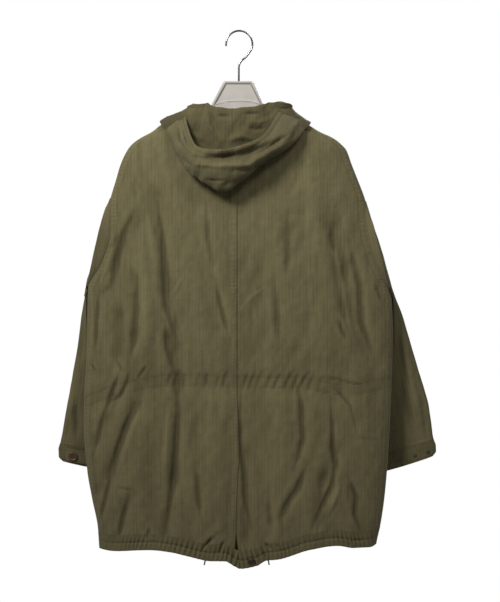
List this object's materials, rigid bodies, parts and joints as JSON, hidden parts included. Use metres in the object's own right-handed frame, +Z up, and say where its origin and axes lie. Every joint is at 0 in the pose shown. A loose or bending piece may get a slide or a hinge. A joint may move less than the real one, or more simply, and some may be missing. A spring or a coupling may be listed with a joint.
{
  "type": "hooded field coat on a hanger",
  "caption": "Olive striped cotton field coat with a thrown-back hood, drawn waist and gathered hem, seen from the back on a moulded hanger.",
  "frame": {"origin": "inner crest of the hanger's hook, where it rests on a rail", "axes": "+Z up, +Y to the front of the coat (its back, with the hood, faces -Y), +X to the right of the back view"},
  "size_m": [0.784, 0.1683, 1.0965],
  "materials": {
    "striped_cotton": "matt, fine stripe in a herringbone weave",
    "brown_button": "dull sheen",
    "dark_thread": "matt",
    "dark_snap": "satin",
    "dark_cord": "matt",
    "grey_plastic": "satin",
    "steel_wire": "polished"
  },
  "bodies": {
    "root": {"back_left": "striped_cotton", "back_right": "striped_cotton", "cuff_button_left": "brown_button", "cuff_button_right_1": "brown_button", "cuff_button_right_2": "brown_button", "cuff_left": "striped_cotton", "cuff_right": "striped_cotton", "cuff_strap_left": "striped_cotton", "cuff_tack_right_1": "dark_thread", "cuff_tack_right_2": "dark_thread", "front_button_1": "brown_button", "front_button_2": "brown_button", "front_button_3": "brown_button", "front_button_4": "brown_button", "front_button_5": "brown_button", "front_button_6": "brown_button", "front_left": "striped_cotton", "front_right": "striped_cotton", "hanger_body": "grey_plastic", "hanger_hook": "steel_wire", "hem_casing": "striped_cotton", "hem_cord_tip_1": "dark_cord", "hem_cord_tip_2": "dark_cord", "hem_snap": "dark_snap", "hood_left": "striped_cotton", "hood_right": "striped_cotton", "pocket_flap_left": "striped_cotton", "pocket_flap_right": "striped_cotton", "sleeve_left": "striped_cotton", "sleeve_right": "striped_cotton"}
  },
  "joints": []
}
